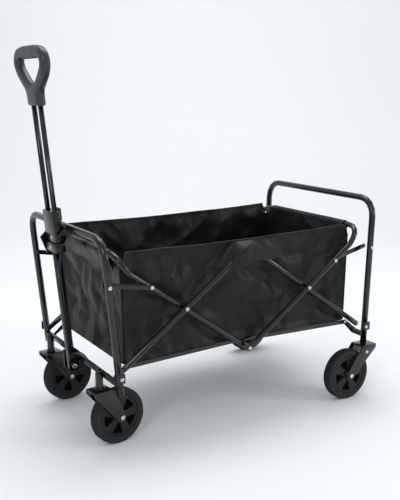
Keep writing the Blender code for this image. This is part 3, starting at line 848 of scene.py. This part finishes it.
# ---- wheels -------------------------------------------------------------------------
@dataclass
class Wheel:
    """One road wheel: a block-treaded tyre on a moulded centre with five recesses."""

    end: str
    word: str
    rubber: bpy.types.Material
    plastic: bpy.types.Material
    shade: bpy.types.Material
    web: float = 0.0025
    radius: float = 0.0780
    rim: float = 0.0580
    half: float = 0.0170
    blocks: int = 66
    tread: float = 0.0014
    groove: float = 0.0008
    block_height: float = 0.0013
    recess: tuple[float, float] = (0.0160, 0.0505)
    lining: float = 0.0006

    @property
    def body(self) -> str:
        """The body that turns on the axle."""
        return f"{self.end}_wheel_{self.word}"

    def axle(self) -> tuple[Vector, Matrix]:
        """Where the wheel stands.

        Returns:
            The middle of the wheel and the turn from +Z to its axle.
        """
        joint = JOINTS[f"{self.end}_wheel_spin_{self.word}"]
        way = Vector(joint["axis"])
        turn = Vector((0.0, 0.0, 1.0)).rotation_difference(way).to_matrix().to_4x4()
        return Vector(joint["pos_m"]) - ORIGIN, turn

    def tyre(self) -> None:
        """Tyre with moulded rings on its walls and rows of tread blocks."""
        place, turn = self.axle()
        r, h = self.radius - self.tread, self.half
        side = [(self.rim + 0.0002, h - 0.0030), (self.rim + 0.0026, h - 0.0012),
                (self.rim + 0.0046, h - 0.0006), (self.rim + 0.0052, h - 0.0014),
                (self.rim + 0.0062, h - 0.0014), (self.rim + 0.0068, h - 0.0004),
                (r - 0.0058, h - 0.0004), (r - 0.0030, h - 0.0018),
                (r - 0.0010, h - 0.0040), (r, h - 0.0072)]
        across = [(r, h * 0.30), (r, 0.0015), (r, -0.0015), (r, -h * 0.30)]
        profile = side + across + [(a, -b) for a, b in reversed(side)]
        profile.append(profile[0])
        bm = turned(profile, Vector(), Matrix.Identity(4), self.blocks)
        tread = [f for f in bm.faces
                 if math.hypot(*f.calc_center_median().xy) > r - 0.0030
                 and abs(f.calc_center_median().z) > 0.0020]
        bmesh.ops.inset_individual(bm, faces=tread, thickness=self.groove, depth=0.0)
        raised = bmesh.ops.extrude_discrete_faces(bm, faces=tread)["faces"]
        for face in raised:
            out = Vector((*face.calc_center_median().xy, 0.0)).normalized()
            bmesh.ops.translate(bm, vec=out * self.block_height, verts=face.verts)
        bmesh.ops.remove_doubles(bm, verts=bm.verts, dist=WELD)
        bmesh.ops.transform(bm, matrix=Matrix.Translation(place) @ turn, verts=bm.verts)
        made = piece(f"{self.end}_tyre_{self.word}_treaded", bm, self.rubber, self.body,
                     30.0)
        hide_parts(f"{self.end}_tyre_{self.word}")

    def centre(self) -> None:
        """Moulded centre, and on each face a boss and, on the floor of its recesses, a
        near-black ring of painted shade.
        """
        refined(f"{self.end}_hub_{self.word}", "moulded", self.plastic, self.body,
                0.0010, 30.0)
        place, turn = self.axle()
        for side in (-1, 1):
            profile = [(0.0058, 0.0112), (0.0058, 0.0172), (0.0066, 0.0180),
                       (0.0112, 0.0180), (0.0122, 0.0170), (0.0140, 0.0126),
                       (0.0140, 0.0112), (0.0058, 0.0112)]
            flip = Matrix.Scale(side, 4, (0, 0, 1))
            bm = turned(profile, place, turn @ flip, 28)
            letter = "ab"[side > 0]
            piece(f"{self.end}_boss_{self.word}_{letter}", bm, self.plastic, self.body)
            inner, outer = self.recess
            low, high = self.web, self.web + self.lining
            floor = [(inner, low), (inner, high), (outer, high), (outer, low),
                     (inner, low)]
            # painted shade: a near-black, dull ring stands in for the shade deep inside the
            # recesses
            piece(f"{self.end}_web_face_{self.word}_{letter}",
                  turned(floor, place, turn @ flip, 40), self.shade, self.body)

    def make(self) -> None:
        """Build the wheel."""
        self.tyre()
        self.centre()


# ---- frame --------------------------------------------------------------------------
@dataclass
class Frame:
    """Welded copies of the tubes, links and pressings, and the rivets that join them.

    The faces are distances from the wagon's middle plane to what each rivet seats on.
    """

    powder: bpy.types.Material
    zinc: bpy.types.Material
    leg_face: float = 0.2733
    link_face: float = 0.2533
    hoop_face: float = 0.2480
    strut_face: float = 0.2398
    bracket_face: float = 0.2758
    rail_face: float = 0.2193
    strut_share: float = 0.734
    fork_rivet: Vector = field(default_factory=lambda: Vector((0.4080, 0.0, 0.1430)))

    def tubes(self) -> None:
        """Round tubes, smooth all along."""
        for node, body in (("front_leg_hoop", "front_frame"), ("rear_leg_hoop", "rear_frame"),
                           ("front_basket_hoop", "front_hoop"),
                           ("rear_basket_hoop", "rear_hoop"),
                           ("front_crossbar", "front_frame"), ("handle_tube", "handle")):
            refined(node, "tube", self.powder, body, 0.0, 50.0)
        for word, _ in SIDES:
            for node, body in ((f"front_link_{word}", "front_links"),
                               (f"rear_link_{word}", "rear_links"),
                               (f"swivel_sleeve_{word}", "front_frame"),
                               (f"telescopic_rod_{word}", "telescope")):
                refined(node, "tube", self.powder, body, 0.0, 50.0)

    def pressings(self) -> None:
        """Sheet and flat-bar pieces with their edges eased."""
        rows = [("handle_bracket", "front_frame")]
        for word, _ in SIDES:
            rows += [(f"front_bracket_{word}", "front_frame"),
                     (f"rear_bracket_{word}", "rear_frame"),
                     (f"rear_rail_hanger_{word}", "rear_frame"),
                     (f"front_fork_{word}", f"caster_{word}"),
                     (f"rear_fork_{word}", "rear_frame"),
                     (f"front_strut_{word}", "front_struts"),
                     (f"rear_strut_{word}", "rear_struts"),
                     (f"front_rail_{word}", "front_rails"),
                     (f"rear_rail_{word}", "rear_rails")]
        for node, body in rows:
            refined(node, "pressed", self.powder, body, 0.0006)
        for word, _ in SIDES:
            refined(f"swivel_stem_{word}", "turned", self.powder, f"caster_{word}",
                    0.0005)

    def bolts(self) -> None:
        """Axle and handle bolts with eased heads."""
        rows = [("handle_pivot_bolt", "front_frame")]
        for word, _ in SIDES:
            rows += [(f"front_axle_bolt_{word}", f"caster_{word}"),
                     (f"rear_axle_bolt_{word}", "rear_frame")]
        for node, body in rows:
            refined(node, "plated", self.zinc, body, 0.0007)

    def rivet(self, name: str, place: Vector, sign: int, body: str,
              radius: float = 0.0056) -> None:
        """One domed rivet head standing outwards from a face.

        Args:
            name: the piece's name.
            place: middle of its seat.
            sign: side of the wagon it faces.
            body: the body that carries it.
            radius: of the head.
        """
        profile = [(0.0, -0.0010), (radius * 0.72, -0.0010), (radius, 0.0),
                   (radius * 0.97, 0.0009), (radius * 0.80, 0.0019),
                   (radius * 0.46, 0.0026), (0.0, 0.0029)]
        axis = Matrix.Rotation(math.radians(-90 * sign), 4, "X")
        piece(name, turned(profile, place, axis, 18), self.zinc, body, 40.0)

    def rivets(self) -> None:
        """Heads at every pivot of the side linkage."""
        foot, crossing = pivot("fold"), pivot("front_hoop_fold")
        slope = (crossing.z - foot.z) / (crossing.x - foot.x)
        reach = self.strut_share * -foot.x
        far_z = foot.z + slope * reach
        seats = (("strut_rivet_front", pivot("front_strut_fold"), self.leg_face,
                  "front_frame"),
                 ("strut_rivet_rear", pivot("rear_strut_fold"), self.leg_face,
                  "rear_frame"),
                 ("hoop_rivet_front", Vector((-reach, 0, far_z)), self.strut_face,
                  "front_struts"),
                 ("hoop_rivet_rear", Vector((reach, 0, far_z)), self.link_face,
                  "rear_hoop"),
                 ("cross_rivet_front", crossing, self.link_face, "front_links"),
                 ("cross_rivet_rear", pivot("rear_links_fold"), self.link_face,
                  "rear_hoop"),
                 ("bottom_rivet", pivot("rear_hoop_fold"), self.hoop_face, "rear_hoop"),
                 ("bracket_rivet_front", foot, self.bracket_face, "front_frame"),
                 ("bracket_rivet_rear", pivot("rear_frame_fold"), self.bracket_face,
                  "rear_frame"),
                 ("rail_rivet_rear", pivot("rear_rail_fold"), self.rail_face,
                  "rear_frame"),
                 ("fork_rivet_rear", self.fork_rivet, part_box("rear_fork_right")[1][1],
                  "rear_frame"))
        for name, place, out, body in seats:
            for word, sign in SIDES:
                self.rivet(f"{name}_{word}", Vector((place.x, sign * out, place.z)), sign,
                           body)

    def make(self) -> None:
        """Build the frame."""
        self.tubes()
        self.pressings()
        self.bolts()
        self.rivets()


# ---- pull handle --------------------------------------------------------------------
@dataclass
class Handle:
    """Moulded parts of the telescoping pull handle, with heights from its pivot."""

    plastic: bpy.types.Material
    gloss: bpy.types.Material
    zinc: bpy.types.Material
    neck: float = 0.7320
    depth: float = 0.026
    edge: float = 0.0105
    slider_screw: tuple[float, float, float] = (-0.0150, 0.0, 0.3460)
    collar_screw: tuple[float, float, float] = (-0.0125, -0.0120, 0.3760)

    def stand(self) -> Matrix:
        """Where the handle stands.

        Returns:
            The frame at the handle's pivot whose +Z runs up the handle.
        """
        way = Vector(JOINTS["handle_telescope"]["axis"])
        turn = Vector((0, 0, 1)).rotation_difference(way).to_matrix().to_4x4()
        return Matrix.Translation(pivot("handle_pitch")) @ turn

    def spline(self, curve: bpy.types.Curve, points: Sequence[tuple[float, float]]) -> None:
        """Add a closed loop to a curve, smooth but for the square foot of the neck.

        Args:
            curve: the curve.
            points: the loop's points, across and up from the neck.
        """
        loop = curve.splines.new("BEZIER")
        loop.bezier_points.add(len(points) - 1)
        for point, (u, v) in zip(loop.bezier_points, points):
            point.co = (u, v, 0.0)
            kind = "VECTOR" if v <= self.edge else "AUTO"
            point.handle_left_type = point.handle_right_type = kind
        loop.use_cyclic_u = True

    def grip(self) -> None:
        """Loop grip with four finger grooves under its top bar."""
        foot = self.edge - 0.006
        outer = [(0.0300, foot), (0.0305, 0.020), (0.037, 0.037), (0.064, 0.059),
                 (0.091, 0.083), (0.1000, 0.105), (0.087, 0.127), (0.055, 0.1355),
                 (0.020, 0.1370)]
        outer = outer + [(-u, v) for u, v in reversed(outer)]
        waves = [(0.050, 0.1280), (0.037, 0.1242), (0.025, 0.1275), (0.0125, 0.1242)]
        hole = [(0.0, 0.0400), (0.030, 0.0480), (0.070, 0.0750), (0.0905, 0.0960),
                (0.0920, 0.1120), (0.074, 0.1250), *waves, (0.0, 0.1275)]
        hole = hole + [(-u, v) for u, v in reversed(hole[1:-1])]
        curve = bpy.data.curves.new("grip_loop", "CURVE")
        curve.dimensions = "2D"
        curve.fill_mode = "BOTH"
        curve.extrude = self.depth / 2 - self.edge
        curve.bevel_depth = self.edge
        curve.bevel_resolution = 5
        curve.resolution_u = 8
        self.spline(curve, outer)
        self.spline(curve, hole)
        holder = bpy.data.objects.new("grip_loop", curve)
        bpy.context.scene.collection.objects.link(holder)
        bpy.context.view_layer.update()
        graph = bpy.context.evaluated_depsgraph_get()
        mesh = bpy.data.meshes.new_from_object(holder.evaluated_get(graph))
        bpy.data.objects.remove(holder, do_unlink=True)
        bm = bmesh.new()
        bm.from_mesh(mesh)
        bpy.data.meshes.remove(mesh)
        bmesh.ops.remove_doubles(bm, verts=bm.verts, dist=WELD)
        place = (self.stand() @ Matrix.Translation((0, 0, self.neck))
                 @ Matrix.Rotation(math.radians(90), 4, "Z")
                 @ Matrix.Rotation(math.radians(90), 4, "X"))
        bmesh.ops.transform(bm, matrix=place, verts=bm.verts)
        made = piece("grip_loop", bm, self.plastic, "telescope", 50.0)
        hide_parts("grip")

    def guides(self) -> None:
        """Collar, slider, lever and clip, and the screws of the first two."""
        for node, body, edge in (("lock_collar", "handle", 0.0040),
                                 ("rod_slider", "telescope", 0.0025),
                                 ("lock_lever", "lock_lever", 0.0008),
                                 ("handle_clip", "front_frame", 0.0)):
            refined(node, "moulded", self.gloss, body, edge)
        rows = (("slider_screw", self.slider_screw, "telescope"),
                ("collar_screw", self.collar_screw, "handle"))
        for name, spot, body in rows:
            profile = [(0.0, -0.001), (0.0040, -0.001), (0.0048, 0.0), (0.0044, 0.0012),
                       (0.0024, 0.0021), (0.0, 0.0023)]
            axis = self.stand() @ Matrix.Translation(spot) @ Matrix.Rotation(
                math.radians(-90), 4, "Y")
            piece(name, turned(profile, Vector(), axis, 16), self.zinc, body, 40.0)

    def make(self) -> None:
        """Build the handle's moulded parts."""
        self.grip()
        self.guides()


# ---- studio -------------------------------------------------------------------------
@dataclass
class Studio:
    """Pale floor and backdrop, soft lights and the camera."""

    eye: Vector = field(default_factory=lambda: Vector((-1.22307, -2.00438, 0.96412)))
    right: Vector = field(default_factory=lambda: Vector((0.85582, -0.51722, -0.00686)))
    up: Vector = field(default_factory=lambda: Vector((0.11422, 0.17603, 0.97774)))
    lens: float = 70.67
    sensor: float = 36.0
    bend: float = 1.4
    bend_start: float = 2.6
    half_width: float = 7.0
    yaw: float = -31.0
    sky_tone: tuple[float, float, float, float] = (0.93, 0.965, 1.0, 1.0)
    sky_strength: float = 0.68
    floor_tone: tuple[float, float, float] = (0.90, 0.912, 0.925)

    def camera(self) -> None:
        """Camera on the near front side, a little above the basket."""
        data = bpy.data.cameras.new("camera")
        data.sensor_fit, data.sensor_width = "HORIZONTAL", self.sensor
        data.lens = self.lens
        made = bpy.data.objects.new("camera", data)
        bpy.context.scene.collection.objects.link(made)
        back = self.right.cross(self.up)
        made.matrix_world = (Matrix.Translation(self.eye + ORIGIN)
                             @ Matrix((self.right, self.up, back)).transposed().to_4x4())
        bpy.context.scene.camera = made

    def backdrop(self) -> None:
        """Floor that sweeps up into a wall behind the wagon."""
        surface = Surface("studio_paper")
        cloud = surface.noise(0.6, 2.0)
        surface.feed("Base Color", surface.ramp(cloud, (
            (0.35, self.floor_tone), (0.65, tuple(c * 1.02 for c in self.floor_tone)))))
        surface.feed("Roughness", 0.75)
        surface.feed("Specular IOR Level", 0.25)
        bm = bmesh.new()
        bmesh.ops.create_grid(bm, x_segments=1, y_segments=60, size=1.0)
        bend, start = self.bend, self.bend_start
        for vertex in bm.verts:
            run = (vertex.co.y + 1.0) * 5.5 - 4.5
            turn = min(math.pi / 2, max(0.0, (run - start) / bend))
            y = min(run, start) + bend * math.sin(turn)
            z = bend * (1.0 - math.cos(turn)) + max(0.0, run - start - bend * math.pi / 2)
            vertex.co = (vertex.co.x * self.half_width, y, z)
        bmesh.ops.rotate(bm, cent=(0, 0, 0), verts=bm.verts,
                         matrix=Matrix.Rotation(math.radians(self.yaw), 3, "Z"))
        mesh = bpy.data.meshes.new("studio_floor")
        bm.to_mesh(mesh)
        bm.free()
        mesh.materials.append(surface.material)
        for polygon in mesh.polygons:
            polygon.use_smooth = True
        made = bpy.data.objects.new("studio_floor", mesh)
        bpy.context.scene.collection.objects.link(made)

    def lamp(self, name: str, place: Sequence[float], aim: Sequence[float],
             size: tuple[float, float], power: float,
             colour: tuple[float, float, float]) -> None:
        """One softbox.

        Args:
            name: the lamp's name.
            place: where it hangs.
            aim: what it faces.
            size: its width and height.
            power: in watts.
            colour: of its light.
        """
        data = bpy.data.lights.new(name, "AREA")
        data.shape = "RECTANGLE"
        data.size, data.size_y = size
        data.energy = power
        data.color = colour
        made = bpy.data.objects.new(name, data)
        bpy.context.scene.collection.objects.link(made)
        made.location = place
        made.rotation_euler = (Vector(aim) - Vector(place)).to_track_quat(
            "-Z", "Y").to_euler()

    def lights(self) -> None:
        """Overhead softbox, two side strips, one box on the wall and an even sky."""
        self.lamp("top_box", (0.3, 0.5, 3.0), (0.0, 0.0, 0.3), (1.8, 1.2), 34.0,
                  (1.0, 0.99, 0.97))
        self.lamp("left_box", (-2.2, -2.2, 2.3), (0.0, 0.0, 0.4), (0.5, 1.2), 22.0,
                  (0.80, 0.91, 1.0))
        self.lamp("right_box", (2.5, -2.5, 1.3), (0.0, 0.0, 0.4), (0.5, 0.9), 20.0,
                  (1.0, 0.97, 0.93))
        self.lamp("wall_box", (0.9, 1.7, 3.3), (2.0, 3.4, 0.9), (3.2, 0.6), 20.0,
                  (1.0, 1.0, 0.99))
        world = bpy.data.worlds.new("sky")
        bpy.context.scene.world = world
        world.use_nodes = True
        sky = world.node_tree.nodes["Background"]
        sky.inputs["Color"].default_value = self.sky_tone
        sky.inputs["Strength"].default_value = self.sky_strength

    def make(self) -> None:
        """Build the studio."""
        self.camera()
        self.backdrop()
        self.lights()
        bpy.context.scene.view_settings.view_transform = "Standard"


def main() -> None:
    """Build every sub-assembly in order."""
    logging.basicConfig(level=logging.INFO, format="%(name)s: %(message)s")
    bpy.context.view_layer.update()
    Studio().make()
    powder, zinc, rubber = PowderCoat().make(), Zinc().make(), Rubber().make()
    hub = Moulded("hub_plastic", 0.0075, 0.40, 0.30).make()
    grip = Moulded("grip_plastic", 0.024, 0.38).make()
    guide = Moulded("guide_plastic", 0.0050, 0.22).make()
    # painted shade: the recess floors get a near-black, dull copy of the hub plastic
    recess = Moulded("recess_plastic", 0.0012, 0.70, 0.08).make()
    cloth = Polyester().make()
    binding = Polyester("binding_tape", 0.0045, 900.0, 0.50, 0.03).make()
    Frame(powder, zinc).make()
    for end in ("front", "rear"):
        for word, _ in SIDES:
            Wheel(end, word, rubber, hub, recess).make()
    Handle(grip, guide, zinc).make()
    Basket(cloth, binding).make()


if __name__ == "__main__":
    main()
